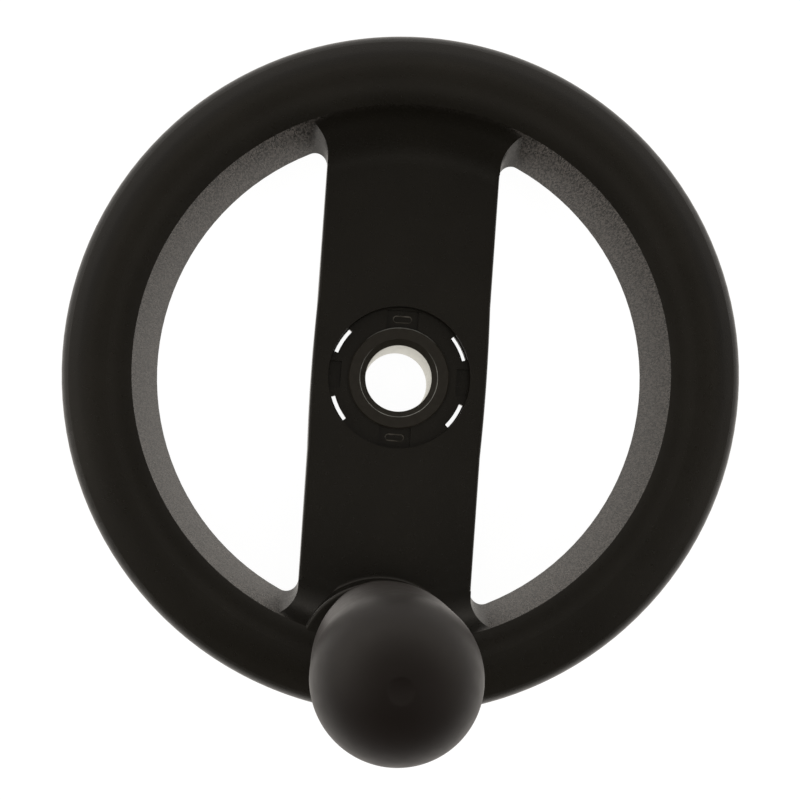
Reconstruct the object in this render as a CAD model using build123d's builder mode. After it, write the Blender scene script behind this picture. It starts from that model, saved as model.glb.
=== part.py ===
from build123d import *
import math
import os

os.makedirs("parts", exist_ok=True)

# Machine handwheel, 160 mm, with a revolving grip. Millimetres.
# The origin is on the bore axis at the back face of the hub bush. +Z points to the operator,
# the bar lies along Y, and the grip stands at the -Y end of the bar.

# ------------------------------------------------------------------ driving dimensions
# Hub bush
bore_diameter = 16.0
bush_length = 20.0
bush_diameter = 24.4
bore_front_chamfer = 1.4
bore_back_chamfer = 0.75
bush_edge_chamfer = 0.3
bush_groove_width = 1.8
bush_groove_depth = 0.9
bush_groove_pitch = 9.0
bush_stands_proud = 0.3

# Bar
bar_width = 41.4
bar_swell = 0.35
bar_swell_reach = 18.0
bar_face_above_bush = 1.75
bar_skin = 3.2
bar_side_wall = 3.2
bar_edge_round = 0.9
bar_draft_angle = 1.5
bar_foot_half_length = 16.0
bar_foot_height = 2.5
bar_rib_thickness = 2.2
bar_rib_spacing = 12.4
bar_cell_pitch = 12.6
bar_blend_below_lip = 0.8
window_corner_round = 3.0

# Rim
wheel_diameter = 160.0
rim_width = 21.5
rim_depth = 14.35
rim_crest_above_bar = 10.45
rim_crest_inset = 11.5
rim_lip_lean = 4.3
rim_lip_drop = 1.45
rim_girth_drop = 6.5
rim_girth_round = 4.6
rim_back_round = 4.6
channel_round = 2.6
rim_wall = 3.2
rim_back_land = 0.8
rim_rib_count = 24
rim_rib_thickness = 2.2
rim_rib_setback = 1.0

# Hub moulding
sleeve_wall = 3.0
pocket_diameter = 34.1
pocket_depth = 2.65
pocket_floor = 1.8
hub_disc_margin = 2.4
clip_slot_width = 0.95
clip_slot_inset = 0.2
clip_slot_arc = 22.0
clip_slot_angle = 30.0
well_depth = 0.8
gate_well_width = 7.6
gate_well_inset = 0.65
clip_well_width = 6.4
clip_well_length = 3.1
gate_mark_length = 4.7
gate_mark_width = 1.8
gate_mark_depth = 0.3
gate_mark_slope = 45.0

# Boss and threaded insert
crank_inset = 17.5
boss_radius = 20.0
boss_above_lip = 0.35
boss_edge_round = 1.0
boss_foot_round = 1.0
pad_diameter = 27.0
pad_above_crest = 0.8
barrel_diameter = 19.0
barrel_stands_proud = 1.5
insert_diameter = 12.0
insert_length = 14.0
insert_groove_width = 2.0
insert_groove_depth = 0.7
thread_diameter = 8.0

# Spindle and snap ring
thread_length = 12.5
collar_across_flats = 13.0
collar_height = 3.5
spindle_diameter = 10.0
spindle_length = 58.0
spindle_end_chamfer = 1.0
ring_wire = 1.3
ring_gap_angle = 30.0
ring_seat_depth = 0.75
ring_seat_width = 1.5
ring_from_end = 5.0

# Grip
grip_length = 77.15
grip_diameter = 32.4
grip_base_diameter = 28.9
grip_belly_height = 32.4
grip_base_gap = 0.6
grip_base_round = 0.8
grip_dimple_diameter = 4.8
grip_dimple_depth = 0.6
spindle_clearance = 0.08
spindle_end_clearance = 1.5
collar_clearance = 0.7
ring_clearance = 0.35
bore_end_cone_angle = 59.0

# ------------------------------------------------------------------ levels and radii that follow
bar_face_z = bush_length + bar_face_above_bush
bar_half = bar_width / 2
wheel_r = wheel_diameter / 2
crank_radius = wheel_r - crank_inset
crest_r = wheel_r - rim_crest_inset
crest_z = bar_face_z + rim_crest_above_bar
rim_back_z = crest_z - rim_depth
girth_z = crest_z - rim_girth_drop
lip_z = crest_z - rim_lip_drop
rim_in_back_r = wheel_r - rim_width
lip_r = rim_in_back_r + rim_lip_lean
lip_slope = rim_lip_lean / (lip_z - rim_back_z)
floor_z = bar_face_z - pocket_depth
boss_z = lip_z + boss_above_lip
pad_z = crest_z + pad_above_crest
pocket_r = pocket_diameter / 2
sleeve_r = bush_diameter / 2 + sleeve_wall
overlap = 1.0


def wall_r(z):
    """Radius of the rim's leaning inner wall at height z."""
    return rim_in_back_r + (z - rim_back_z) * lip_slope


def sunk_r(z):
    """Radius half way into that wall, where whatever runs into the rim ends."""
    return wall_r(z) + rim_wall / 2


# ------------------------------------------------------------------ hub bush
def bush_outline():
    """Outer half section of the bush, with two holding grooves; used again for its seat."""
    r = bush_diameter / 2
    c = bush_edge_chamfer
    low = bush_length / 2 - bush_groove_pitch / 2
    high = bush_length / 2 + bush_groove_pitch / 2
    half = bush_groove_width / 2
    deep = r - bush_groove_depth
    return [
        (0, 0),
        (r - c, 0),
        (r, c),
        (r, low - half),
        (deep, low - half),
        (deep, low + half),
        (r, low + half),
        (r, high - half),
        (deep, high - half),
        (deep, high + half),
        (r, high + half),
        (r, bush_length - c),
        (r - c, bush_length),
        (0, bush_length),
    ]


with BuildPart() as hub_insert:
    with BuildSketch(Plane.XZ):
        with BuildLine():
            Polyline(bush_outline(), close=True)
        make_face()
    revolve(axis=Axis.Z)
    with BuildSketch(Plane.XY):
        Circle(bore_diameter / 2)
    extrude(amount=bush_length, mode=Mode.SUBTRACT)
    bore_edges = hub_insert.edges().filter_by(GeomType.CIRCLE).group_by(SortBy.RADIUS)[0].sort_by(Axis.Z)
    chamfer(bore_edges[0], length=bore_back_chamfer)
    bore_edges = hub_insert.edges().filter_by(GeomType.CIRCLE).group_by(SortBy.RADIUS)[0].sort_by(Axis.Z)
    chamfer(bore_edges[-1], length=bore_front_chamfer)
hub_insert.part.label = "hub_insert"

# ------------------------------------------------------------------ threaded insert in the boss
insert_foot_z = pad_z - insert_length
insert_mid_z = pad_z - insert_length / 2


def insert_outline():
    """Outer half section of the threaded insert, with one holding groove."""
    r = insert_diameter / 2
    half = insert_groove_width / 2
    deep = r - insert_groove_depth
    return [
        (0, insert_foot_z),
        (r, insert_foot_z),
        (r, insert_mid_z - half),
        (deep, insert_mid_z - half),
        (deep, insert_mid_z + half),
        (r, insert_mid_z + half),
        (r, pad_z),
        (0, pad_z),
    ]


crank_plane = Plane(origin=(0, -crank_radius, 0), x_dir=(1, 0, 0), z_dir=(0, -1, 0))
crank_axis = Axis((0, -crank_radius, 0), (0, 0, 1))

with BuildPart() as boss_insert:
    with BuildSketch(crank_plane):
        with BuildLine():
            Polyline(insert_outline(), close=True)
        make_face()
    revolve(axis=crank_axis)
    with BuildSketch(Plane.XY.offset(insert_foot_z)):
        with Locations((0, -crank_radius)):
            Circle(thread_diameter / 2)
    extrude(amount=insert_length, mode=Mode.SUBTRACT)
boss_insert.part.label = "boss_insert"

# ------------------------------------------------------------------ wheel body: rim
# The front of the rim is a wide arc that runs into a tighter one at the girth.
side_run = rim_crest_inset - rim_girth_round
crown_radius = (side_run**2 + rim_girth_drop**2 - rim_girth_round**2) / (2 * (rim_girth_drop - rim_girth_round))
crown_lean = math.atan2(side_run, crown_radius - rim_girth_drop)
crown_point = (crest_r + crown_radius * math.sin(crown_lean), crest_z - crown_radius * (1 - math.cos(crown_lean)))

with BuildPart() as rim:
    with BuildSketch(Plane.XZ):
        with BuildLine():
            Line((rim_in_back_r, rim_back_z), (lip_r, lip_z))
            TangentArc((crest_r, crest_z), (lip_r, lip_z), tangent=(-1, 0))
            TangentArc((crest_r, crest_z), crown_point, tangent=(1, 0))
            TangentArc((wheel_r, girth_z), crown_point, tangent=(0, 1))
            Line((wheel_r, girth_z), (wheel_r, rim_back_z + rim_back_round))
            TangentArc(
                (wheel_r, rim_back_z + rim_back_round),
                (wheel_r - rim_back_round, rim_back_z),
                tangent=(0, -1),
            )
            Line((wheel_r - rim_back_round, rim_back_z), (rim_in_back_r, rim_back_z))
        make_face()
    revolve(axis=Axis.Z)

# The back of the rim is a channel cut into cells by radial ribs.
channel_in_r = rim_in_back_r + rim_wall
channel_out_r = wheel_r - rim_back_round - rim_back_land
channel_roof_z = crest_z - rim_wall
channel_top_r = wall_r(channel_roof_z) + rim_wall
channel_knee_r = channel_out_r - rim_back_land
cell_angle = 360 / rim_rib_count
rib_angle = math.degrees(rim_rib_thickness / crest_r)

with BuildPart() as rim_cell:
    with BuildSketch(Plane.XZ):
        with BuildLine():
            Polyline(
                (channel_in_r - overlap * lip_slope, rim_back_z - overlap),
                (channel_top_r, channel_roof_z),
                (channel_knee_r - channel_round, channel_roof_z),
            )
            RadiusArc(
                (channel_knee_r - channel_round, channel_roof_z),
                (channel_knee_r, channel_roof_z - channel_round),
                channel_round,
            )
            Polyline(
                (channel_knee_r, channel_roof_z - channel_round),
                (channel_out_r, rim_back_z),
                (channel_out_r, rim_back_z - overlap),
                (channel_in_r - overlap * lip_slope, rim_back_z - overlap),
            )
        make_face()
    revolve(axis=Axis.Z, revolution_arc=cell_angle - rib_angle)

# ------------------------------------------------------------------ wheel body: bar
# The bar's face runs up into the rim's wall in an arc, which is cut by the turned shape bar_air.
wall_angle = math.atan2(1, lip_slope)
blend_top_z = lip_z - bar_blend_below_lip
blend_top_r = wall_r(blend_top_z)
blend_start_r = wall_r(bar_face_z) - (blend_top_z - bar_face_z) / math.sin(wall_angle)

bar_slant = math.tan(math.radians(bar_draft_angle))
bar_top_half = bar_half - (blend_top_z - bar_face_z) * bar_slant
bar_back_half = bar_half + (bar_face_z - rim_back_z) * bar_slant
foot_slope = (rim_back_z - bar_foot_height) / (rim_in_back_r - bar_foot_half_length)

# The window corners start here, and the round along the bar's edges ends.
corner_centre_r = rim_in_back_r - window_corner_round / math.sin(wall_angle)
corner_start_y = math.sqrt(corner_centre_r**2 - (bar_back_half + window_corner_round) ** 2)
corner_foot_z = bar_foot_height + (corner_start_y - bar_foot_half_length) * foot_slope

with BuildPart() as bar_air:
    with BuildSketch(Plane.XZ):
        with BuildLine():
            Line((0, bar_face_z), (blend_start_r, bar_face_z))
            TangentArc((blend_start_r, bar_face_z), (blend_top_r, blend_top_z), tangent=(1, 0))
            Polyline((blend_top_r, blend_top_z), (0, blend_top_z), (0, bar_face_z))
        make_face()
    revolve(axis=Axis.Z)

with BuildPart() as bar_prism:
    with BuildSketch(Plane.XY.offset(blend_top_z)):
        with BuildLine():
            Line((bar_top_half, wheel_r), (bar_top_half, bar_swell_reach))
            ThreePointArc(
                (bar_top_half, bar_swell_reach),
                (bar_top_half + bar_swell, 0),
                (bar_top_half, -bar_swell_reach),
            )
            Line((bar_top_half, -bar_swell_reach), (bar_top_half, -wheel_r))
            Line((bar_top_half, -wheel_r), (-bar_top_half, -wheel_r))
            Line((-bar_top_half, -wheel_r), (-bar_top_half, -bar_swell_reach))
            ThreePointArc(
                (-bar_top_half, -bar_swell_reach),
                (-bar_top_half - bar_swell, 0),
                (-bar_top_half, bar_swell_reach),
            )
            Line((-bar_top_half, bar_swell_reach), (-bar_top_half, wheel_r))
            Line((-bar_top_half, wheel_r), (bar_top_half, wheel_r))
        make_face()
    extrude(amount=-blend_top_z, taper=-bar_draft_angle)

# The bar between the window corners.
with BuildPart() as bar_middle:
    add(bar_prism.part)
    with BuildSketch(Plane.YZ):
        with BuildLine():
            Polyline(
                (-corner_start_y, blend_top_z),
                (-corner_start_y, corner_foot_z),
                (-bar_foot_half_length, bar_foot_height),
                (bar_foot_half_length, bar_foot_height),
                (corner_start_y, corner_foot_z),
                (corner_start_y, blend_top_z),
                close=True,
            )
        make_face()
    extrude(amount=bar_width, both=True, mode=Mode.INTERSECT)
    add(bar_air.part, mode=Mode.SUBTRACT)
    face_edges = bar_middle.edges().filter_by(lambda edge: edge.bounding_box().min.Z > bar_face_z - bar_edge_round)
    fillet(face_edges.filter_by(lambda edge: abs(edge.center().X) > bar_half - overlap), bar_edge_round)

# Its ends above the rim's back, which run into the rim's wall.
with BuildPart() as bar_ends:
    add(bar_prism.part)
    with BuildSketch(Plane.XZ):
        with BuildLine():
            Polyline(
                (0, rim_back_z),
                (sunk_r(rim_back_z), rim_back_z),
                (sunk_r(blend_top_z), blend_top_z),
                (0, blend_top_z),
                close=True,
            )
        make_face()
    revolve(axis=Axis.Z, mode=Mode.INTERSECT)

# And below the rim's back, where the bar's underside rises to it.
with BuildPart() as bar_feet:
    add(bar_prism.part)
    with BuildSketch(Plane.YZ):
        for side in (-1, 1):
            with BuildLine():
                Polyline(
                    (side * corner_start_y, rim_back_z + overlap),
                    (side * corner_start_y, corner_foot_z),
                    (side * rim_in_back_r, rim_back_z),
                    (side * rim_in_back_r, rim_back_z + overlap),
                    close=True,
                )
            make_face()
    extrude(amount=bar_width, both=True, mode=Mode.INTERSECT)

# Two lengthways ribs and a row of cross ribs divide the hollow under the bar.
core_half_width = bar_half - bar_side_wall
core_roof_z = bar_face_z - bar_skin
mid_cell_width = bar_rib_spacing - bar_rib_thickness
side_cell_width = core_half_width - bar_rib_spacing / 2 - bar_rib_thickness / 2
side_cell_x = core_half_width - side_cell_width / 2
hub_cell_length = bar_foot_half_length + bar_rib_thickness
cell_length = bar_cell_pitch - bar_rib_thickness
cell_rows = int((rim_in_back_r - hub_cell_length) // bar_cell_pitch)

with BuildPart() as bar_core:
    with BuildSketch(Plane.XY) as hub_cells:
        Rectangle(2 * core_half_width, 2 * bar_foot_half_length)
        Circle(sleeve_r, mode=Mode.SUBTRACT)
        Rectangle(2 * core_half_width, bar_rib_thickness, mode=Mode.SUBTRACT)
        Rectangle(bar_rib_thickness, 2 * bar_foot_half_length, mode=Mode.SUBTRACT)
    extrude(amount=core_roof_z)
    with BuildSketch(Plane.XY) as long_cells:
        for row in range(cell_rows):
            y = hub_cell_length + bar_cell_pitch * row + cell_length / 2
            with Locations((0, y), (0, -y)):
                Rectangle(mid_cell_width, cell_length)
            with Locations((side_cell_x, y), (-side_cell_x, y), (side_cell_x, -y), (-side_cell_x, -y)):
                Rectangle(side_cell_width, cell_length)
    extrude(amount=core_roof_z)

# ------------------------------------------------------------------ boss under the grip
boss_plane = Plane(origin=(0, -crest_r, 0), x_dir=(1, 0, 0), z_dir=(0, -1, 0))
boss_axis = Axis((0, -crest_r, 0), (0, 0, 1))

with BuildPart() as boss:
    with BuildSketch(boss_plane):
        with BuildLine():
            Line((0, boss_z), (boss_radius - boss_edge_round, boss_z))
            RadiusArc(
                (boss_radius - boss_edge_round, boss_z),
                (boss_radius, boss_z - boss_edge_round),
                boss_edge_round,
            )
            Line((boss_radius, boss_z - boss_edge_round), (boss_radius, bar_face_z + boss_foot_round))
            RadiusArc(
                (boss_radius, bar_face_z + boss_foot_round),
                (boss_radius + boss_foot_round, bar_face_z),
                -boss_foot_round,
            )
            Polyline(
                (boss_radius + boss_foot_round, bar_face_z),
                (boss_radius + boss_foot_round, bar_face_z - overlap),
                (0, bar_face_z - overlap),
                (0, boss_z),
            )
        make_face()
    revolve(axis=boss_axis)
    with BuildSketch(Plane.XZ):
        with BuildLine():
            Polyline(
                (0, bar_face_z - overlap),
                (sunk_r(bar_face_z - overlap), bar_face_z - overlap),
                (sunk_r(boss_z), boss_z),
                (0, boss_z),
                close=True,
            )
        make_face()
    revolve(axis=Axis.Z, mode=Mode.INTERSECT)

# ------------------------------------------------------------------ wheel body: one moulding
barrel_foot_z = rim_back_z - barrel_stands_proud
well_z = floor_z - well_depth
slot_out_r = pocket_r - clip_slot_inset
slot_in_r = slot_out_r - clip_slot_width
gate_well_out_r = pocket_r - gate_well_inset

with BuildPart() as wheel_body:
    add(rim.part)
    add(bar_ends.part)
    tall_edges = wheel_body.edges().filter_by(lambda edge: edge.bounding_box().size.Z > lip_z - bar_face_z)
    fillet(tall_edges.filter_by(lambda edge: abs(edge.center().Y) > corner_start_y), window_corner_round)
    add(bar_air.part, mode=Mode.SUBTRACT)
    with BuildSketch(Plane.XY.offset(rim_back_z)):
        Rectangle(2 * (bar_back_half + window_corner_round), 2 * corner_start_y)
    extrude(amount=blend_top_z - rim_back_z, mode=Mode.SUBTRACT)
    add(bar_middle.part)
    add(bar_feet.part)
    add(boss.part)
    with PolarLocations(0, rim_rib_count, start_angle=90 + rib_angle / 2):
        add(rim_cell.part, mode=Mode.SUBTRACT)
    with BuildSketch(Plane.XY.offset(rim_back_z)):
        Circle(channel_out_r)
        Circle(channel_in_r, mode=Mode.SUBTRACT)
    extrude(amount=rim_rib_setback, mode=Mode.SUBTRACT)
    add(bar_core.part, mode=Mode.SUBTRACT)
    # Hub: a sleeve round the bush and a disc that carries the pocket's floor.
    with BuildSketch(Plane.XY.offset(bush_stands_proud)):
        Circle(sleeve_r)
    extrude(amount=bar_face_z - bush_stands_proud)
    with BuildSketch(Plane.XY.offset(floor_z - pocket_floor)):
        Circle(pocket_r + hub_disc_margin)
    extrude(amount=pocket_floor + pocket_depth)
    # Barrel round the threaded insert, and the flat pad that the spindle's collar sits on.
    with BuildSketch(Plane.XY.offset(barrel_foot_z)):
        with Locations((0, -crank_radius)):
            Circle(barrel_diameter / 2)
    extrude(amount=boss_z - barrel_foot_z)
    with BuildSketch(Plane.XY.offset(boss_z - overlap)):
        with Locations((0, -crank_radius)):
            Circle(pad_diameter / 2)
    extrude(amount=pad_z - boss_z + overlap)
    # Cap pocket, its wells, gate marks and clip slots.
    with BuildSketch(Plane.XY.offset(floor_z)):
        Circle(pocket_r)
    extrude(amount=pocket_depth, mode=Mode.SUBTRACT)
    with BuildSketch(Plane.XY.offset(well_z)):
        with Locations((0, gate_well_out_r / 2), (0, -gate_well_out_r / 2)):
            Rectangle(gate_well_width, gate_well_out_r)
        with Locations((pocket_r - clip_well_length / 2, 0), (clip_well_length / 2 - pocket_r, 0)):
            Rectangle(clip_well_length, clip_well_width)
    extrude(amount=well_depth, mode=Mode.SUBTRACT)
    with BuildSketch(Plane.XY.offset(well_z)):
        gate_mark_y = (bush_diameter / 2 + gate_well_out_r) / 2
        with Locations((0, gate_mark_y), (0, -gate_mark_y)):
            SlotOverall(gate_mark_length, gate_mark_width)
    extrude(amount=-gate_mark_depth, taper=gate_mark_slope, mode=Mode.SUBTRACT)
    with BuildSketch(Plane.XY.offset(floor_z - pocket_floor)):
        for side in (0, 180):
            for tilt in (clip_slot_angle, -clip_slot_angle):
                slot_start = side + tilt - clip_slot_arc / 2
                with BuildLine():
                    CenterArc((0, 0), slot_in_r, slot_start, clip_slot_arc)
                    CenterArc((0, 0), slot_out_r, slot_start, clip_slot_arc)
                    for end in (slot_start, slot_start + clip_slot_arc):
                        slot_x = math.cos(math.radians(end))
                        slot_y = math.sin(math.radians(end))
                        Line((slot_in_r * slot_x, slot_in_r * slot_y), (slot_out_r * slot_x, slot_out_r * slot_y))
                make_face()
    extrude(amount=pocket_floor + pocket_depth, mode=Mode.SUBTRACT)
    # Seats of the two inserts.
    with BuildSketch(Plane.XZ):
        with BuildLine():
            Polyline(bush_outline(), close=True)
        make_face()
    revolve(axis=Axis.Z, mode=Mode.SUBTRACT)
    with BuildSketch(crank_plane):
        with BuildLine():
            Polyline(insert_outline(), close=True)
        make_face()
    revolve(axis=crank_axis, mode=Mode.SUBTRACT)
wheel_body.part.label = "wheel_body"

# ------------------------------------------------------------------ spindle
collar_z = pad_z + collar_height
spindle_end_z = collar_z + spindle_length
ring_z = spindle_end_z - ring_from_end
shank_r = spindle_diameter / 2
ring_seat_r = shank_r - ring_seat_depth

with BuildPart() as handle_spindle:
    with BuildSketch(Plane.XY.offset(pad_z - thread_length)):
        with Locations((0, -crank_radius)):
            Circle(thread_diameter / 2)
    extrude(amount=thread_length)
    with BuildSketch(Plane.XY.offset(pad_z)):
        with Locations((0, -crank_radius)):
            RegularPolygon(collar_across_flats / 2, 6, major_radius=False)
    extrude(amount=collar_height)
    with BuildSketch(crank_plane):
        with BuildLine():
            Polyline(
                (0, collar_z),
                (shank_r, collar_z),
                (shank_r, ring_z - ring_seat_width / 2),
                (ring_seat_r, ring_z - ring_seat_width / 2),
                (ring_seat_r, ring_z + ring_seat_width / 2),
                (shank_r, ring_z + ring_seat_width / 2),
                (shank_r, spindle_end_z - spindle_end_chamfer),
                (shank_r - spindle_end_chamfer, spindle_end_z),
                (0, spindle_end_z),
                close=True,
            )
        make_face()
    revolve(axis=crank_axis)
handle_spindle.part.label = "handle_spindle"

# ------------------------------------------------------------------ snap ring
ring_mid_r = ring_seat_r + ring_wire / 2 + (ring_seat_width - ring_wire) / 2

with BuildPart() as grip_snap_ring:
    with BuildSketch(crank_plane):
        with Locations((ring_mid_r, ring_z)):
            Rectangle(ring_wire, ring_wire)
    revolve(axis=crank_axis, revolution_arc=360 - ring_gap_angle)
grip_snap_ring.part.label = "grip_snap_ring"

# ------------------------------------------------------------------ grip
grip_base_z = pad_z + grip_base_gap
grip_tip_z = grip_base_z + grip_length
belly_z = grip_base_z + grip_belly_height
belly_r = grip_diameter / 2
base_r = grip_base_diameter / 2
dome_z = grip_tip_z - belly_r
grip_bore_r = shank_r + spindle_clearance
grip_bore_end_z = spindle_end_z + spindle_end_clearance
cone_height = grip_bore_r / math.tan(math.radians(bore_end_cone_angle))
socket_r = collar_across_flats / 2 / math.cos(math.pi / 6) + collar_clearance
socket_roof_z = collar_z + ring_clearance
ring_groove_r = ring_mid_r + ring_wire / 2 + ring_clearance
ring_groove_half = ring_wire / 2 + ring_clearance
dimple_r = grip_dimple_diameter / 2
dimple_z = grip_tip_z - grip_dimple_depth
dimple_rim_z = dome_z + math.sqrt(belly_r**2 - dimple_r**2)

with BuildPart() as handle_grip:
    with BuildSketch(crank_plane):
        with BuildLine():
            Line((0, grip_base_z), (base_r, grip_base_z))
            Polyline((base_r, grip_base_z), (belly_r, belly_z), (belly_r, dome_z))
            CenterArc((0, dome_z), belly_r, 0, 90)
            Line((0, grip_tip_z), (0, grip_base_z))
        make_face()
    revolve(axis=crank_axis)
    base_edge = handle_grip.edges().filter_by(GeomType.CIRCLE).sort_by(Axis.Z)[0]
    fillet(base_edge, grip_base_round)
    with BuildSketch(crank_plane):
        with BuildLine():
            Polyline(
                (0, grip_base_z),
                (socket_r, grip_base_z),
                (socket_r, socket_roof_z),
                (grip_bore_r, socket_roof_z),
                (grip_bore_r, ring_z - ring_groove_half),
                (ring_groove_r, ring_z - ring_groove_half),
                (ring_groove_r, ring_z + ring_groove_half),
                (grip_bore_r, ring_z + ring_groove_half),
                (grip_bore_r, grip_bore_end_z),
                (0, grip_bore_end_z + cone_height),
                close=True,
            )
        make_face()
    revolve(axis=crank_axis, mode=Mode.SUBTRACT)
    with BuildSketch(crank_plane):
        with BuildLine():
            TangentArc((0, dimple_z), (dimple_r, dimple_rim_z), tangent=(1, 0))
            Polyline((dimple_r, dimple_rim_z), (dimple_r, grip_tip_z), (0, grip_tip_z), (0, dimple_z))
        make_face()
    revolve(axis=crank_axis, mode=Mode.SUBTRACT)
handle_grip.part.label = "handle_grip"

# ------------------------------------------------------------------ files
export_step(wheel_body.part, "parts/wheel_body.step")
export_step(hub_insert.part, "parts/hub_insert.step")
export_step(boss_insert.part, "parts/boss_insert.step")
export_step(handle_spindle.part, "parts/handle_spindle.step")
export_step(grip_snap_ring.part, "parts/grip_snap_ring.step")
export_step(handle_grip.part, "parts/handle_grip.step")
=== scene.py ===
# %% [markdown]
# # A machine handwheel
# This is the front of a 160 mm machine handwheel: a black moulded rim, one wide straight bar, a steel bush
# in the hub and a revolving grip. The construction comes in ready made as a fixed frame. What is left to do
# here is the finish of every surface, the grip's smooth turned form, the light and the camera.

# %% Load the frame
import math
import bpy
import numpy as np
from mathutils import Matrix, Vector


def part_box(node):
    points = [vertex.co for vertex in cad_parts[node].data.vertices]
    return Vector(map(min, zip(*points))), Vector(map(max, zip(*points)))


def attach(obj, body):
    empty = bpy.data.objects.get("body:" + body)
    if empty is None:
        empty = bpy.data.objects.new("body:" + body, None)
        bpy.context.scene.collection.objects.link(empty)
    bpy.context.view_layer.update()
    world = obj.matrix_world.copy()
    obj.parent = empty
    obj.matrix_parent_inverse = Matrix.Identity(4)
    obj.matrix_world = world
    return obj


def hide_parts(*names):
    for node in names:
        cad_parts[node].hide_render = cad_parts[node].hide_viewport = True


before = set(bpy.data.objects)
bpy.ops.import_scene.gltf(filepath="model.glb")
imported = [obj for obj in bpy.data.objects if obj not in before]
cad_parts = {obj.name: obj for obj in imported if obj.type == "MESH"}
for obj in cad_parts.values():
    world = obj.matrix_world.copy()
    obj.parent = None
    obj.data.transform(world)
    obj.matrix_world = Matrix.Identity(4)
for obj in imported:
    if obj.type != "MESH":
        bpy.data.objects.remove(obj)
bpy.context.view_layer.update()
MM = 0.001


# %% [markdown]
# ## Where the main things are
# Everything is placed from the frame, so the sizes below are read from its nodes. The grip turns about its
# own axis, the crank axis, which is the middle of the grip's box. The hub's axis is the origin. The numbers
# could be typed in too, but read from the frame they can't drift from it.

# %% Places read from the frame
grip_low, grip_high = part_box("handle_grip")
wheel_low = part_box("wheel_body")[0]
bush_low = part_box("hub_insert")[0]
crank_x = (grip_low.x + grip_high.x) / 2
crank_y = (grip_low.y + grip_high.y) / 2
base_z = grip_low.z / MM
belly_r = (grip_high.x - grip_low.x) / 2 / MM
print("crank axis at y = %.2f mm, grip %.1f mm across" % (crank_y / MM, 2 * belly_r))

# %% [markdown]
# ## Camera
# The wheel is looked at square on, from straight in front, so the camera looks down the bore axis. It stands
# a little below and to the left of the axis and is shifted back, as when a picture is cropped: the circles
# stay circles, and the grip leans down the picture. A camera that is turned to the middle instead would
# squash the circles. The roll turns the bar a few degrees.

# %% Make the camera
CAMERA_PLACE = (-14.9 * MM, -30.03 * MM, 341.2 * MM)
CAMERA_ROLL = 0.0695
FOCAL_PIXELS = 1333.5
PICTURE_PIXELS = 800
CENTRE_PIXEL = (328.4, 498.05)
SENSOR_WIDTH = 36
NEAREST_SEEN = 0.01

camera_data = bpy.data.cameras.new("camera")
camera_data.sensor_width = SENSOR_WIDTH
camera_data.lens = FOCAL_PIXELS / PICTURE_PIXELS * SENSOR_WIDTH
camera_data.shift_x = 0.5 - CENTRE_PIXEL[0] / PICTURE_PIXELS
camera_data.shift_y = CENTRE_PIXEL[1] / PICTURE_PIXELS - 0.5
camera_data.clip_start = NEAREST_SEEN
camera = bpy.data.objects.new("camera", camera_data)
camera.location = CAMERA_PLACE
camera.rotation_euler = (0, 0, CAMERA_ROLL)
bpy.context.scene.collection.objects.link(camera)
bpy.context.scene.camera = camera
print("lens %.1f mm, shift %.3f, %.3f" % (camera_data.lens, camera_data.shift_x, camera_data.shift_y))

# %% [markdown]
# ## Turned forms
# A turned or moulded round piece is one profile carried round an axis. The profile is a list of points made
# of straight runs and arcs, and the surface is a grid: one parameter runs along the profile and the other
# round the axis. Where the profile meets the axis, the last ring closes on a single point. A Screw modifier
# would turn the same profile, but arrays keep the exact radii and leave no doubled points at the ends.

# %% Profile helpers
SAME_POINT = 1e-6


def arc(centre, radius, start_degrees, end_degrees, count):
    """Points on a circular arc: centre plus radius times the cosine and sine of evenly spaced angles."""
    angles = np.radians(np.linspace(start_degrees, end_degrees, count))
    return np.stack([centre[0] + radius * np.cos(angles), centre[1] + radius * np.sin(angles)], axis=1)


def joined(*runs):
    """One profile from several runs of points, with points that repeat left out."""
    points = np.vstack([np.atleast_2d(np.array(run, float)) for run in runs])
    steps = np.linalg.norm(np.diff(points, axis=0), axis=1)
    return points[np.r_[True, steps > SAME_POINT]]


# %% Turn a profile into a mesh object
ON_AXIS = 1e-9
SHARP_DEGREES = 24


def ring_faces(a, b, count):
    """Faces between two rings of vertex numbers; a ring of one vertex is a point on the axis."""
    here = np.arange(count)
    after = (here + 1) % count
    if len(a) == 1:
        return np.stack([np.full(count, a[0]), b[here], b[after]], axis=1).tolist()
    if len(b) == 1:
        return np.stack([a[after], a[here], np.full(count, b[0])], axis=1).tolist()
    return np.stack([a[after], a[here], b[here], b[after]], axis=1).tolist()


def turned(name, profile_mm, centre, count):
    """A closed surface of revolution. A profile point (r, z) in mm becomes the ring of points
    (centre x + r cos t, centre y + r sin t, z) for count even angles t, or one point where r is 0.
    The profile starts and ends on the axis, with the solid on its left hand side."""
    profile = np.array(profile_mm, float) * MM
    angle = np.arange(count) * 2 * math.pi / count
    rings, numbers, used = [], [], 0
    for r, z in profile:
        turn = angle if r > ON_AXIS else angle[:1]
        x = centre[0] + r * np.cos(turn)
        y = centre[1] + r * np.sin(turn)
        rings.append(np.stack([x, y, np.full(len(turn), z)], axis=1))
        numbers.append(used + np.arange(len(turn)))
        used += len(turn)
    faces = []
    for a, b in zip(numbers[:-1], numbers[1:]):
        faces += ring_faces(a, b, count)
    mesh = bpy.data.meshes.new(name)
    mesh.from_pydata(np.vstack(rings).tolist(), [], faces)
    mesh.shade_smooth()
    mesh.set_sharp_from_angle(angle=math.radians(SHARP_DEGREES))
    piece = bpy.data.objects.new(name, mesh)
    bpy.context.scene.collection.objects.link(piece)
    print(name, len(mesh.vertices), "vertices,", len(mesh.polygons), "faces")
    return piece


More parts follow.
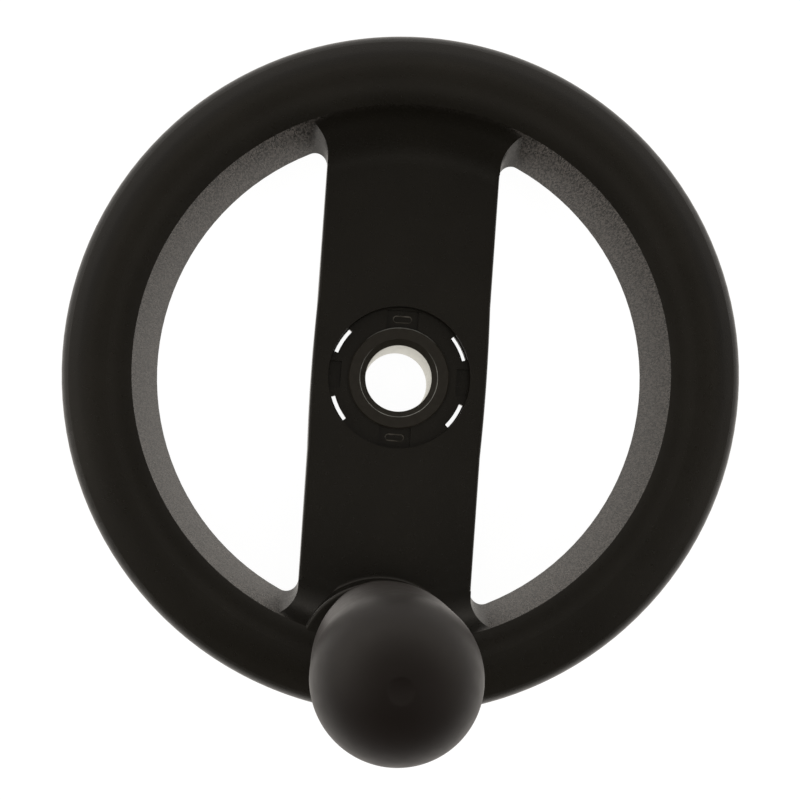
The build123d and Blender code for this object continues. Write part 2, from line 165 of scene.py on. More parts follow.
# %% [markdown]
# ## The grip
# The real grip is one satin moulding that turns on a steel pin: a small rounded foot, a flank that widens
# slowly, a straight belly and a domed end with a small round gate dimple. A cone that runs into a cylinder
# shows a break where they meet, so the knee is eased here over a few millimetres: near it the radius follows
# a parabola that leaves the cone and joins the cylinder with no step in slope. The frame's own solid could
# stay in view, but its gloss would show that knee as a line. The bore is turned with the outside in one
# profile, so the grip stays the hollow moulding that it is.

# %% Grip sizes in mm
GRIP_BASE_R = 14.45
GRIP_BASE_ROUND = 0.8
GRIP_LENGTH = 77.15
GRIP_KNEE_HEIGHT = 32.4
GRIP_KNEE_EASE = 9.0
DIMPLE_R = 2.4
DIMPLE_DEPTH = 0.6
DIMPLE_CORNER = 0.25
BORE_R = 5.08
BORE_END_Z = 96.0
BORE_CONE_HEIGHT = 3.05
RING_GROOVE_R = 6.0
RING_GROOVE_Z = (88.5, 90.5)
SOCKET_R = 8.2056
SOCKET_TOP_Z = 36.85

tip_z = base_z + GRIP_LENGTH
dome_z = tip_z - belly_r
print("grip from z = %.2f to %.2f mm, its dome from %.2f mm" % (base_z, tip_z, dome_z))

# %% Grip profile
FOOT_STEPS = 9
FLANK_STEPS = 80
DOME_STEPS = 60
DISH_STEPS = 14


def eased_flank(count):
    """The flank's radius by height: the cone's line below the knee's ease, the belly's radius above it, and
    between them a parabola that has the cone's slope at its foot and none at its top."""
    slope = (belly_r - GRIP_BASE_R) / GRIP_KNEE_HEIGHT
    height = np.linspace(GRIP_BASE_ROUND, dome_z - base_z, count)
    past = np.clip((height - GRIP_KNEE_HEIGHT + GRIP_KNEE_EASE) / (2 * GRIP_KNEE_EASE), 0, 1)
    line = GRIP_BASE_R + slope * np.minimum(height, GRIP_KNEE_HEIGHT - GRIP_KNEE_EASE)
    radius = line + slope * 2 * GRIP_KNEE_EASE * (past - past**2 / 2)
    return np.stack([radius, base_z + height], axis=1)


def dimple():
    """The dished dimple on the tip: a sphere's cap. A chord of half width c and a sag s give it the radius
    (c squared + s squared) / 2s. Returned with the angle at which the dome ends."""
    edge_r = DIMPLE_R + DIMPLE_CORNER
    dome_end = math.degrees(math.acos(edge_r / belly_r))
    edge_z = dome_z + math.sqrt(belly_r**2 - edge_r**2)
    bottom_z = tip_z - DIMPLE_DEPTH
    sag = edge_z - bottom_z
    dish_r = (DIMPLE_R**2 + sag**2) / (2 * sag)
    half_angle = math.degrees(math.asin(DIMPLE_R / dish_r))
    dish = arc((0, bottom_z + dish_r), dish_r, half_angle - 90, -90, DISH_STEPS)
    dish[-1, 0] = 0
    return dish, dome_end


def grip_profile():
    """From the bore's pointed end down the bore, round the foot, up the flank and over the dome into the
    dimple."""
    bore = [
        (0, BORE_END_Z + BORE_CONE_HEIGHT),
        (BORE_R, BORE_END_Z),
        (BORE_R, RING_GROOVE_Z[1]),
        (RING_GROOVE_R, RING_GROOVE_Z[1]),
        (RING_GROOVE_R, RING_GROOVE_Z[0]),
        (BORE_R, RING_GROOVE_Z[0]),
        (BORE_R, SOCKET_TOP_Z),
        (SOCKET_R, SOCKET_TOP_Z),
        (SOCKET_R, base_z),
    ]
    foot_centre = (GRIP_BASE_R - GRIP_BASE_ROUND, base_z + GRIP_BASE_ROUND)
    foot = arc(foot_centre, GRIP_BASE_ROUND, -90, 0, FOOT_STEPS)
    dish, dome_end = dimple()
    dome = arc((0, dome_z), belly_r, 0, dome_end, DOME_STEPS)
    return joined(bore, foot, eased_flank(FLANK_STEPS), dome, dish)


# %% Make the grip
GRIP_STEPS_ROUND = 192

grip = turned("grip", grip_profile(), (crank_x, crank_y), GRIP_STEPS_ROUND)
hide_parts("handle_grip")
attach(grip, "grip")

# %% [markdown]
# ## Finishes
# Each finish is one small group of nodes: a shader whose colour, roughness and bump come from noise in the
# piece's own Object coordinates, which are metres here, so a noise scale of 4000 makes grains of a quarter
# of a millimetre. The grain of an eroded mould is fine and sharp, a turned face has rings round its axis,
# and a plated or drawn surface has next to nothing. Pictures wrapped round the pieces could hold all that,
# but noise needs no unwrapping, has no seams and keeps its scale. The same few helpers build the room's
# light further on, so they work on any tree of nodes.

# %% Node helpers
NOISE_MIDDLE = (0.3, 0.7)  # few values of a noise lie outside


class Nodes:
    """A tree of nodes being made: adds nodes and joins their sockets by name."""

    def __init__(self, tree):
        self.tree = tree
        self.place = self.add("TexCoord")

    def add(self, kind, **values):
        """A node of one kind, with its settings and the values of its sockets."""
        node = self.tree.nodes.new("ShaderNode" + kind)
        for key, value in values.items():
            if hasattr(node, key):
                setattr(node, key, value)
            else:
                node.inputs[key.replace("_", " ")].default_value = value
        return node

    def join(self, output, socket):
        """Joins an output to an input socket."""
        self.tree.links.new(output, socket)

    def fill(self, sockets, values):
        """Sets each socket to a number, or joins an output to it."""
        for socket, value in zip(sockets, values):
            if isinstance(value, (int, float)):
                socket.default_value = value
            else:
                self.join(value, socket)

    def math(self, operation, *values):
        """One or two values or numbers put together by one operation."""
        node = self.add("Math", operation=operation)
        self.fill(node.inputs, values)
        return node.outputs["Value"]

    def product(self, first, *others):
        """Values multiplied together, one after the other."""
        for value in others:
            first = self.math("MULTIPLY", first, value)
        return first

    def spread(self, value, low, high, start=NOISE_MIDDLE[0], end=NOISE_MIDDLE[1], easing="LINEAR"):
        """A value from start to end, mapped onto low to high and held there outside."""
        node = self.add("MapRange", interpolation_type=easing)
        names = ("Value", "From Min", "From Max", "To Min", "To Max")
        self.fill([node.inputs[name] for name in names], (value, start, end, low, high))
        return node.outputs["Result"]

    def eased(self, value, low, high, span):
        """The same over a span of two values, with a smooth start and end."""
        return self.spread(value, low, high, *span, easing="SMOOTHSTEP")

    def between(self, value, low, high, edge):
        """1 where a value is from low to high, 0 outside, over a soft edge of the given width."""
        rise = self.spread(value, 0, 1, low - edge, low)
        fall = self.spread(value, 1, 0, high, high + edge)
        return self.product(rise, fall)

    def mixed(self, share, first, second):
        """A colour from the first to the second, each a socket or a triple."""
        node = self.add("Mix", data_type="RGBA")
        self.join(share, node.inputs[0])
        for socket, colour in zip((node.inputs[6], node.inputs[7]), (first, second)):
            if isinstance(colour, tuple):
                socket.default_value = (*colour, 1)
            else:
                self.join(colour, socket)
        return node.outputs[2]

    def parts(self, vector):
        """The three parts of a vector."""
        node = self.add("SeparateXYZ")
        self.join(vector, node.inputs["Vector"])
        return node.outputs["X"], node.outputs["Y"], node.outputs["Z"]

    def axes(self):
        """Object coordinates one by one, in metres."""
        return self.parts(self.place.outputs["Object"])

    def from_axis(self):
        """Distance from the bore's axis, in metres."""
        flat = self.add("VectorMath", operation="MULTIPLY")
        flat.inputs[1].default_value = (1, 1, 0)
        self.join(self.place.outputs["Object"], flat.inputs[0])
        radius = self.add("VectorMath", operation="LENGTH")
        self.join(flat.outputs["Vector"], radius.inputs[0])
        return radius.outputs["Value"]


# %% Helpers for a finish
class Finish(Nodes):
    """A material being made, with its shader's sockets set by name."""

    def __init__(self, name):
        self.material = bpy.data.materials.new(name)
        self.material.use_nodes = True
        super().__init__(self.material.node_tree)
        self.shader = self.tree.nodes["Principled BSDF"]

    def paint(self, colour, roughness):
        """Joins a colour and a roughness to the shader."""
        self.join(colour, self.shader.inputs["Base Color"])
        self.join(roughness, self.shader.inputs["Roughness"])

    def set(self, **constants):
        """Numbers and colours that are the same all over, set on the shader's own sockets."""
        for name, value in constants.items():
            self.shader.inputs[name.replace("_", " ")].default_value = value

    def noise(self, scale, detail=2.0, roughness=0.5, height=1.0):
        """Noise in Object coordinates, grains about one part in scale of a metre, drawn out along Z where the
        height's factor is below one."""
        node = self.add("TexNoise", Scale=scale, Detail=detail, Roughness=roughness)
        drawn = self.add("VectorMath", operation="MULTIPLY")
        drawn.inputs[1].default_value = (1, 1, height)
        self.join(self.place.outputs["Object"], drawn.inputs[0])
        self.join(drawn.outputs["Vector"], node.inputs["Vector"])
        return node.outputs["Fac"]

    def colours(self, value, dark, light):
        """A value turned into a colour between two, over the middle of a noise."""
        node = self.add("ValToRGB")
        for element, colour, position in zip(node.color_ramp.elements, (dark, light), NOISE_MIDDLE):
            element.color = (*colour, 1)
            element.position = position
        self.join(value, node.inputs["Fac"])
        return node.outputs["Color"]

    def bump(self, *heights):
        """Bumps, each a (value, height in metres, strength), one on top of the other."""
        normal = None
        for value, height, strength in heights:
            node = self.add("Bump", Distance=height, Strength=strength)
            self.join(value, node.inputs["Height"])
            if normal:
                self.join(normal, node.inputs["Normal"])
            normal = node.outputs["Normal"]
        self.join(normal, self.shader.inputs["Normal"])


def dress(piece, finish):
    """Gives a piece one material, in its first slot."""
    if piece.material_slots:
        piece.material_slots[0].material = finish.material
    else:
        piece.data.materials.append(finish.material)
    print(piece.name, "wears", finish.material.name, "of", len(finish.tree.nodes), "nodes")


# %% [markdown]
# ### The wheel's black moulding
# The wheel is a glass filled black plastic from a spark eroded mould. It is nearly black, a touch warm, and
# its skin is a field of tiny sharp pits, which glitter where light strikes them flat. Three places have light
# or shade painted into their colour: the rim's inner wall carries a painted reflection of the white floor,
# the sloping edges of the two sunk gate marks in the pocket carry painted highlights, and the rim is painted
# a shade greyer than the bar as painted light, save on its outer slope away from the grip, which is painted
# blacker as painted shade. Faces could be given a material each, but then every change would have a hard
# edge. Each place is a mask instead: a share from 0 to 1, worked out from where a point lies and which way
# its surface faces.

# %% Where the rim's inner wall is
WALL_R = (58 * MM, 62.75 * MM)
WALL_R_EDGE = 0.1 * MM
UPRIGHT = 0.25
UPRIGHT_EDGE = 0.15
INWARD = (-20 * MM, -10 * MM)  # a point's place, measured along its normal
BESIDE_BAR = (21 * MM, 29 * MM)
WALL_REFLECTION_AT_BAR = 0.08


def rim_wall(m, x, radius):
    """1 on the rim's inner wall: a band of radius, where the surface stands upright and its normal points
    against the place, which is towards the axis. It fades where the wall runs up to the bar, which the wall
    mirrors there in place of the white floor, so the painted reflection fades there too."""
    normal = m.add("NewGeometry").outputs["Normal"]
    upright = m.between(m.parts(normal)[2], -UPRIGHT, UPRIGHT, UPRIGHT_EDGE)
    outward = m.add("VectorMath", operation="DOT_PRODUCT")
    m.join(m.place.outputs["Object"], outward.inputs[0])
    m.join(normal, outward.inputs[1])
    inward = m.spread(outward.outputs["Value"], 1, 0, *INWARD)
    beside_bar = m.spread(m.math("ABSOLUTE", x), WALL_REFLECTION_AT_BAR, 1, *BESIDE_BAR)
    return m.product(m.between(radius, *WALL_R, WALL_R_EDGE), upright, inward, beside_bar)


# %% [markdown]
# The pale wall is a painted reflection of the white floor, which the inner wall mirrors along its surface.
# It is broken into grains drawn out along the wheel's axis: the noise is stretched to five times its width
# along Z. Single streaks could be drawn as thin bands, but the grains of a noise run into each other. The
# painted reflection is a little stronger near the rim's lip and towards the two ends of the bar.

# %% How strong the painted wall reflection is
WALL_REFLECTION_GRAIN = 3000
WALL_REFLECTION_STRETCH = 0.2
WALL_REFLECTION_SHARES = (0.05, 0.65)
WALL_REFLECTION_STEP = (0.43, 0.57)
TOWARDS_ENDS = (15 * MM, 45 * MM)
ENDS_GAIN = 1.36
NEAR_LIP_Z = (25 * MM, 30 * MM)
LIP_GAIN = 1.15


def painted_wall_reflection(m, wall, y, z):
    """The share of painted reflection of the white floor: grains on the wall, times a gain towards the bar's
    ends and one at the lip."""
    grains = m.spread(m.noise(WALL_REFLECTION_GRAIN, detail=1, height=WALL_REFLECTION_STRETCH), *WALL_REFLECTION_SHARES, *WALL_REFLECTION_STEP)
    towards_ends = m.spread(m.math("ABSOLUTE", y), 1, ENDS_GAIN, *TOWARDS_ENDS)
    near_lip = m.spread(z, 1, LIP_GAIN, *NEAR_LIP_Z)
    return m.product(wall, grains, towards_ends, near_lip)


# %% [markdown]
# Two gates fed the plastic into the hub's pocket, and each left a sunk mark there, with a sloping edge. A
# pale colour on that edge is a painted highlight, where the slope catches the light. It could be a thin ring
# laid over it, but the slope is already in the solid: within the marks' outline, a narrow range of heights
# finds it. A soft noise breaks the painted highlight up.

# %% Where the gate marks' edges are
MARKS_R = (12.4 * MM, 16.4 * MM)
MARKS_HALF_WIDTH = 3 * MM
MARKS_EDGE_Z = (18.05 * MM, 18.27 * MM)
MARKS_SOFTNESS = 0.1 * MM
MARKS_Z_SOFTNESS = 0.03 * MM
MARKS_PATCH_GRAIN = 420
MARKS_PATCH_SHARES = (0.3, 1)
MARKS_PATCH_STEP = (0.38, 0.60)


def gate_edge_highlights(m, x, z, radius):
    """1 on the sloping edge of the two gate marks, between the pocket's floor and the marks' own, in soft
    patches: where a highlight is painted."""
    beside = m.between(x, -MARKS_HALF_WIDTH, MARKS_HALF_WIDTH, MARKS_SOFTNESS)
    slope = m.between(z, *MARKS_EDGE_Z, MARKS_Z_SOFTNESS)
    patches = m.spread(m.noise(MARKS_PATCH_GRAIN, detail=2), *MARKS_PATCH_SHARES, *MARKS_PATCH_STEP)
    return m.product(m.between(radius, *MARKS_R, MARKS_SOFTNESS), beside, slope, patches)


# %% [markdown]
# No black moulding is one even colour. A slow, cloudy noise blends two close blacks here, once for the bar
# and once for the rim, and the distance from the hub's axis says which of the two blends a point has. A
# single colour would look like paint. The rim's blacks are paler than the bar's: painted light, for the
# rim's raised crest, which stands clear of the shade that the bar lies in. The outer slope on the far side
# is painted blacker instead: painted shade that dims what the slope mirrors.

# %% The wheel's blacks
# The rim's pair of blacks is painted lighter than the bar's as painted light; the outer slope's black is
# painted shade.
BAR_BLACK = ((0.0056, 0.0049, 0.0036), (0.0070, 0.0061, 0.0045))
RIM_BLACK_PAINTED_LIGHT = ((0.0076, 0.0066, 0.0049), (0.0094, 0.0082, 0.0061))
OUTER_SLOPE_PAINTED_SHADE = (0.0026, 0.0022, 0.0017)
BAR_TO_RIM_R = (61 * MM, 67 * MM)
SLOPE_R = (72.5 * MM, 75 * MM)
SLOPE_Y = (-20 * MM, 15 * MM)
CLOUD_GRAIN = 60


def wheel_black(m, y, radius):
    """The bar's black, the rim's painted greyer as painted light, and painted shade on the far outer slope.
    """
    cloud = m.noise(CLOUD_GRAIN, detail=3)
    on_rim = m.spread(radius, 0, 1, *BAR_TO_RIM_R)
    black = m.mixed(on_rim, m.colours(cloud, *BAR_BLACK), m.colours(cloud, *RIM_BLACK_PAINTED_LIGHT))
    # Painted shade on the rim's outer slope on the far side.
    painted_shade_share = m.product(m.spread(radius, 0, 1, *SLOPE_R), m.spread(y, 0, 1, *SLOPE_Y))
    return m.mixed(painted_shade_share, black, OUTER_SLOPE_PAINTED_SHADE)


# %% Dress the wheel
# The first colour below is a painted reflection of the white floor on the inner wall, the second a painted
# highlight on the gate marks' edges.
WALL_PAINTED_REFLECTION = (0.158, 0.140, 0.126)
GATE_EDGE_HIGHLIGHT = (0.085, 0.078, 0.066)
PLASTIC_IOR = 1.5
WHEEL_ROUGHNESS = (0.27, 0.34)
RUBBED_SMOOTHER = 0.05
UNEVEN_GRAIN, UNEVEN_HEIGHT, UNEVEN_STRENGTH = 900, 0.02 * MM, 0.25
PIT_GRAIN, PIT_HEIGHT, PIT_STRENGTH = 3800, 0.04 * MM, 0.8


def wheel_moulding():
    """Spark eroded black moulding: fine pits over a slightly uneven sheen, an inner wall a little smoother
    that carries a painted reflection of the white floor, and painted highlights on the edges of two gate
    marks."""
    m = Finish("wheel_moulding")
    x, y, z = m.axes()
    radius = m.from_axis()
    wall = rim_wall(m, x, radius)
    # Painted reflection on the inner wall over the blacks, then painted highlights on the gate marks' edges.
    colour = m.mixed(painted_wall_reflection(m, wall, y, z), wheel_black(m, y, radius), WALL_PAINTED_REFLECTION)
    colour = m.mixed(gate_edge_highlights(m, x, z, radius), colour, GATE_EDGE_HIGHLIGHT)
    uneven = m.noise(UNEVEN_GRAIN, detail=2)
    pits = m.noise(PIT_GRAIN, detail=3, roughness=0.6)
    rubbed = m.math("MULTIPLY", wall, RUBBED_SMOOTHER)
    m.paint(colour, m.math("SUBTRACT", m.spread(uneven, *WHEEL_ROUGHNESS), rubbed))
    m.set(IOR=PLASTIC_IOR)
    m.bump((uneven, UNEVEN_HEIGHT, UNEVEN_STRENGTH), (pits, PIT_HEIGHT, PIT_STRENGTH))
    return m


dress(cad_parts["wheel_body"], wheel_moulding())

# %% [markdown]
# ### The grip's satin moulding
# The grip is the same black with a smoother skin: faint orange peel from the moulding, a broader gloss, and
# a thin sheen that brightens its edges, as fine satin plastic has when it is looked at along the surface. A
# paler colour mixed in by Fresnel would do that too, but the shader's own sheen follows the lamps.

# %% Dress the grip
GRIP_BLACK = ((0.0054, 0.0038, 0.0031), (0.0064, 0.0046, 0.0038))
GRIP_CLOUD_GRAIN = 45
GRIP_ROUGHNESS = (0.42, 0.47)
GRIP_SHEEN = 0.03
GRIP_SHEEN_SPREAD = 0.5
GRIP_SHEEN_TINT = (1, 0.88, 0.85, 1)
PEEL_GRAIN, PEEL_HEIGHT, PEEL_STRENGTH = 420, 0.02 * MM, 0.12
SATIN_GRAIN, SATIN_HEIGHT, SATIN_STRENGTH = 5200, 0.01 * MM, 0.25


def grip_moulding():
    """Satin black moulding: soft, even gloss with faint orange peel."""
    m = Finish("grip_moulding")
    peel = m.noise(PEEL_GRAIN, detail=2)
    satin = m.noise(SATIN_GRAIN, detail=2)
    cloud = m.noise(GRIP_CLOUD_GRAIN, detail=3)
    m.paint(m.colours(cloud, *GRIP_BLACK), m.spread(peel, *GRIP_ROUGHNESS))
    m.set(IOR=PLASTIC_IOR, Sheen_Weight=GRIP_SHEEN, Sheen_Roughness=GRIP_SHEEN_SPREAD)
    m.set(Sheen_Tint=GRIP_SHEEN_TINT)
    m.bump((peel, PEEL_HEIGHT, PEEL_STRENGTH), (satin, SATIN_HEIGHT, SATIN_STRENGTH))
    return m


dress(grip, grip_moulding())

# %% [markdown]
# ### The hub's steel bush
# The bush is turned steel with a black oxide skin, and its bore is reamed bright after blackening, so one
# material holds both: the distance from the bore's axis says which of the two a point has. The oxide itself
# is a thin dark mineral skin, so it isn't metallic. It has worn through in two thin lines, on the chamfer's
# sharp edge and on the bush's own edge. Wear along edges is often found by how sharply a surface bends, but
# these edges are circles, and a band of radius is exact. The turning marks are rings, a wave of radius.

# %% Where the steel is bare
REAMED_R = (8.03 * MM, 8.06 * MM)
CHAMFER_EDGE_R = (9.33 * MM, 9.4 * MM)
CHAMFER_SOFTNESS = 0.05 * MM
CHAMFER_WEAR = (0.5, 0)
CHAMFER_WEAR_Y = (2 * MM, 7 * MM)
BUSH_EDGE_R = (11.96 * MM, 12.2 * MM)
BUSH_SOFTNESS = 0.03 * MM
BUSH_FACE_Z = (19.6 * MM, 19.7 * MM)
BUSH_WEAR = (0, 0.22)
BUSH_WEAR_Y = (8.5 * MM, 11.5 * MM)
WEAR_PATCH_GRAIN = 330
WEAR_PATCH_SHARES = (0.3, 1.2)


def bare_steel(m):
    """1 in the reamed bore, and less in two worn lines, each a narrow band of radius that fades along Y: the
    chamfer's edge, most on the grip's side, and the far side of the bush's own edge."""
    _, y, z = m.axes()
    radius = m.from_axis()
    patchy = m.spread(m.noise(WEAR_PATCH_GRAIN, detail=3), *WEAR_PATCH_SHARES)
    reamed = m.spread(radius, 1, 0, *REAMED_R)
    chamfer = m.between(radius, *CHAMFER_EDGE_R, CHAMFER_SOFTNESS)
    chamfer = m.product(chamfer, m.spread(y, *CHAMFER_WEAR, *CHAMFER_WEAR_Y), patchy)
    edge = m.product(m.between(radius, *BUSH_EDGE_R, BUSH_SOFTNESS), m.spread(z, 0, 1, *BUSH_FACE_Z))
    edge = m.product(edge, m.spread(y, *BUSH_WEAR, *BUSH_WEAR_Y), patchy)
    return m.math("MAXIMUM", reamed, m.math("MAXIMUM", chamfer, edge))


# %% Dress the bush
STEEL = (0.66, 0.67, 0.63)
OXIDE = ((0.0098, 0.0083, 0.0061), (0.0146, 0.0126, 0.0094))
OXIDE_ROUGHNESS = (0.38, 0.50)
OXIDE_GRAIN, OXIDE_HEIGHT, OXIDE_STRENGTH = 700, 0.01 * MM, 0.2
TURNING_PITCH, TURNING_HEIGHT, TURNING_STRENGTH = 0.12 * MM, 0.003 * MM, 0.25


def blackened_steel():
    """Black oxide on turned steel, bright where the steel is bare, with turning rings one pitch apart."""
    m = Finish("blackened_steel")
    bare = bare_steel(m)
    rings = m.math("SINE", m.math("MULTIPLY", m.from_axis(), 2 * math.pi / TURNING_PITCH))
    mottle = m.noise(OXIDE_GRAIN, detail=4, roughness=0.65)
    m.paint(m.mixed(bare, m.colours(mottle, *OXIDE), STEEL), m.spread(mottle, *OXIDE_ROUGHNESS))
    m.join(bare, m.shader.inputs["Metallic"])
    m.bump((rings, TURNING_HEIGHT, TURNING_STRENGTH), (mottle, OXIDE_HEIGHT, OXIDE_STRENGTH))
    return m


dress(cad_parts["hub_insert"], blackened_steel())

# %% [markdown]
# ### Brass, zinc and spring steel
# The three pieces inside are plain metal: a turned brass insert in the boss, the spindle in slightly cloudy
# zinc plate, and the snap ring in oiled spring steel. They differ in nothing but their numbers, so one
# function makes them all: a noise blends two close colours and two close roughnesses.

# %% Dress the pieces inside
METAL_BUMP_HEIGHT = 0.01 * MM
PLAIN_METALS = [
    # node, finish, grain, darker and lighter colour, roughness, strength of the bump
    ("boss_insert", "turned_brass", 900, (0.60, 0.44, 0.18), (0.74, 0.58, 0.27), (0.26, 0.38), 0.2),
    ("handle_spindle", "zinc_plate", 350, (0.50, 0.52, 0.54), (0.64, 0.66, 0.67), (0.26, 0.36), 0.15),
    ("grip_snap_ring", "spring_steel", 1100, (0.16, 0.155, 0.15), (0.24, 0.235, 0.23), (0.30, 0.42), 0.15),
]


def plain_metal(name, grain, dark, light, roughness, bump_strength):
    """A bare metal: one noise of the given grain for its colour, roughness and bump."""
    m = Finish(name)
    mottle = m.noise(grain, detail=3)
    m.paint(m.colours(mottle, dark, light), m.spread(mottle, *roughness))
    m.set(Metallic=1)
    m.bump((mottle, METAL_BUMP_HEIGHT, bump_strength))
    return m


for node_name, *looks in PLAIN_METALS:
    dress(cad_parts[node_name], plain_metal(*looks))

# %% [markdown]
# ## Floor
# The wheel lies on a plain white floor. The floor is white to the camera and in reflections whatever the
# lamps do: part of what is seen is an even glow, and the rest is the lamps' light, which keeps a faint
# shadow. Stronger lamps would whiten it too, but they would grey the black. In reflections the glow fades
# away from the wheel and towards the near side, as a table's does towards its edge, and black gloss shows
# that as a soft change from light to dark.

# %% Floor finish
FLOOR_GLOW = 0.96
FLOOR_TINT = (1.0, 0.95, 0.89)
FLOOR_FAR_GLOW = 0.44
FLOOR_FADE_R = (0.075, 0.35)
FLOOR_NEAR_SHARE = 0.35
FLOOR_NEAR_Y = (-0.50, -0.12)
PLAIN_WHITE = (0.8, 0.8, 0.8, 1)
FAINT_WHITE = (0.10, 0.10, 0.10, 1)


def floor_glow(m, to_camera):
    """The even glow: white and whole to the camera, tinted and fading to all else."""
    fade = m.spread(m.from_axis(), FLOOR_GLOW, FLOOR_FAR_GLOW, *FLOOR_FADE_R)
    near = m.spread(m.axes()[1], FLOOR_NEAR_SHARE, 1, *FLOOR_NEAR_Y)
    strength = m.add("Mix", data_type="FLOAT")
    m.fill((strength.inputs[0], strength.inputs[2]), (to_camera, m.product(fade, near)))
    strength.inputs[3].default_value = FLOOR_GLOW
    glow = m.add("Emission")
    m.join(m.mixed(to_camera, FLOOR_TINT, (1.0, 1.0, 1.0)), glow.inputs["Color"])
    m.join(strength.outputs[0], glow.inputs["Strength"])
    return glow.outputs["Emission"]


def floor_finish():
    """Diffuse white. Camera, glossy and transmission rays see the glow with a little diffuse instead."""
    m = Finish("floor_white")
    m.tree.nodes.remove(m.shader)
    path = m.add("LightPath").outputs
    seen = m.math("MAXIMUM", path["Is Camera Ray"], path["Is Glossy Ray"])
    seen = m.math("MAXIMUM", seen, path["Is Transmission Ray"])
    plain = m.add("BsdfDiffuse", Color=PLAIN_WHITE)
    faint = m.add("BsdfDiffuse", Color=FAINT_WHITE)
    both = m.add("AddShader")
    m.fill(both.inputs, (faint.outputs["BSDF"], floor_glow(m, path["Is Camera Ray"])))
    mix = m.add("MixShader")
    m.fill(mix.inputs, (seen, plain.outputs["BSDF"], both.outputs["Shader"]))
    m.join(mix.outputs["Shader"], m.tree.nodes["Material Output"].inputs["Surface"])
    return m


# %% Lay the floor
FLOOR_SIZE = 12.0
FLOOR_DROP = 0.2 * MM

floor_z = min(wheel_low.z, bush_low.z) - FLOOR_DROP
half = FLOOR_SIZE / 2
corners = [(x, y, floor_z) for x, y in ((-half, -half), (half, -half), (half, half), (-half, half))]
floor_mesh = bpy.data.meshes.new("floor")
floor_mesh.from_pydata(corners, [], [(0, 1, 2, 3)])
floor = bpy.data.objects.new("floor", floor_mesh)
bpy.context.scene.collection.objects.link(floor)
dress(floor, floor_finish())
print("floor at z = %.2f mm" % (floor_z / MM))

# %% [markdown]
# ## Lamps
# Black plastic mirrors its surroundings more than it shows its own colour, so the lamps are soft panels that
# light the wheel evenly and that its gloss doesn't see. Seen in it, they would be four hard white patches.
# One stands overhead, one on the far side and one on either side.

# %% Lamps
PANELS = [
    # name, place and size in metres, irradiance, colour
    ("panel_top", (0.0, -0.1, 1.2), (0.9, 0.9), 0.30, (1.0, 0.98, 0.95)),
    ("panel_far", (0.0, 1.25, 0.80), (1.2, 0.8), 0.20, (1.0, 0.97, 0.92)),
    ("panel_left", (-1.0, -0.5, 1.1), (0.8, 0.8), 0.40, (1.0, 0.98, 0.96)),
    ("panel_right", (1.0, -0.5, 1.1), (0.8, 0.8), 0.38, (1.0, 0.98, 0.96)),
]


def panel(name, place, size, irradiance, colour):
    """A soft panel lamp that faces the wheel. Irradiance is what it gives at the wheel, in units of pi, on a
    surface turned to it: for a small panel that is its area over its distance squared, times its radiance,
    over pi. The camera and the gloss don't see it, so the wheel mirrors its surroundings alone."""
    distance = float(np.linalg.norm(place))
    data = bpy.data.lights.new(name, "AREA")
    data.shape = "RECTANGLE"
    data.size, data.size_y = size
    data.energy = irradiance * math.pi**2 * distance**2
    data.color = colour
    lamp = bpy.data.objects.new(name, data)
    lamp.location = place
    lamp.rotation_euler = (-Vector(place)).to_track_quat("-Z", "Z").to_euler()
    lamp.visible_camera = False
    lamp.visible_glossy = False
    bpy.context.scene.collection.objects.link(lamp)
    print(name, "%.1f W" % data.energy)


for settings in PANELS:
    panel(*settings)

# %% [markdown]
# ## Surroundings
# A room round a white table is dim overhead and paler low down, where the table's own light falls on it. The
# world is that room: its light grows from the zenith to the horizon as a power of one minus the height of
# the direction looked in. The far side is the palest at the horizon, the left side is paler than the right,
# the near side, where somebody stands, is dark, and straight overhead there is a faint glow. A picture of a
# room would do as well, but these few smooth steps can be changed one by one. The camera sees plain white.

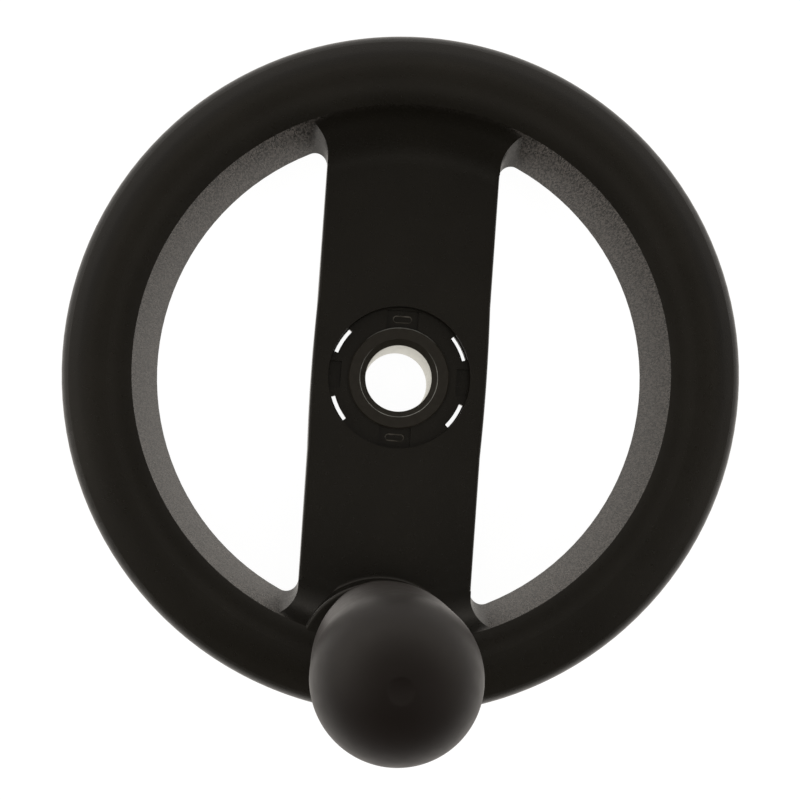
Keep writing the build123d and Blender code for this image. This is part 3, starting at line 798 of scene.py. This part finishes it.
# %% World
ROOM_TINT = (1.0, 0.93, 0.84)
ZENITH_LIGHT = 0.05
SIDE_HORIZON_LIGHT = 0.50
FAR_HORIZON_LIGHT = 0.96
HORIZON_POWER = 1.35
FAR_SIDE_Y = (-0.1, 0.7)
LEFT_SIDE_GAIN = 1.8
LEFT_SIDE_X = (-0.7, -0.1)
LEFT_SIDE_ENDS_Y = (0.15, 0.60)
LEFT_SIDE_FAR_SHARE = 0.3
NEAR_SIDE_LIGHT = 0.25
NEAR_SIDE_Y = (-0.60, -0.10)
OVERHEAD_GLOW = 0.20
OVERHEAD_Z = (0.955, 1.0)


def room_light(m):
    """The room's light in a direction (x, y, z): the rise from the zenith to the horizon, times what the
    side looked at gives, plus the glow overhead."""
    x, y, z = m.parts(m.place.outputs["Generated"])
    below_zenith = m.math("SUBTRACT", 1, m.math("MAXIMUM", z, 0))
    rise = m.math("POWER", below_zenith, HORIZON_POWER)
    horizon = m.eased(y, SIDE_HORIZON_LIGHT - ZENITH_LIGHT, FAR_HORIZON_LIGHT - ZENITH_LIGHT, FAR_SIDE_Y)
    room = m.math("ADD", m.product(rise, horizon), ZENITH_LIGHT)
    left = m.eased(x, LEFT_SIDE_GAIN - 1, 0, LEFT_SIDE_X)
    left = m.product(left, m.eased(y, 1, LEFT_SIDE_FAR_SHARE, LEFT_SIDE_ENDS_Y))
    near = m.eased(y, NEAR_SIDE_LIGHT, 1, NEAR_SIDE_Y)
    room = m.product(room, m.math("ADD", left, 1), near)
    return m.math("ADD", room, m.eased(z, 0, OVERHEAD_GLOW, OVERHEAD_Z))


def surroundings():
    """The room to the lit and mirrored, plain white to the camera."""
    world = bpy.data.worlds.new("surroundings")
    world.use_nodes = True
    m = Nodes(world.node_tree)
    background = m.tree.nodes["Background"]
    seen = m.add("LightPath").outputs["Is Camera Ray"]
    m.join(m.math("MAXIMUM", room_light(m), seen), background.inputs["Strength"])
    m.join(m.mixed(seen, ROOM_TINT, (1.0, 1.0, 1.0)), background.inputs["Color"])
    return world


bpy.context.scene.world = surroundings()
bpy.context.scene.view_settings.view_transform = "Standard"
print("room light %.2f at the zenith, %.2f at the far horizon" % (ZENITH_LIGHT, FAR_HORIZON_LIGHT))
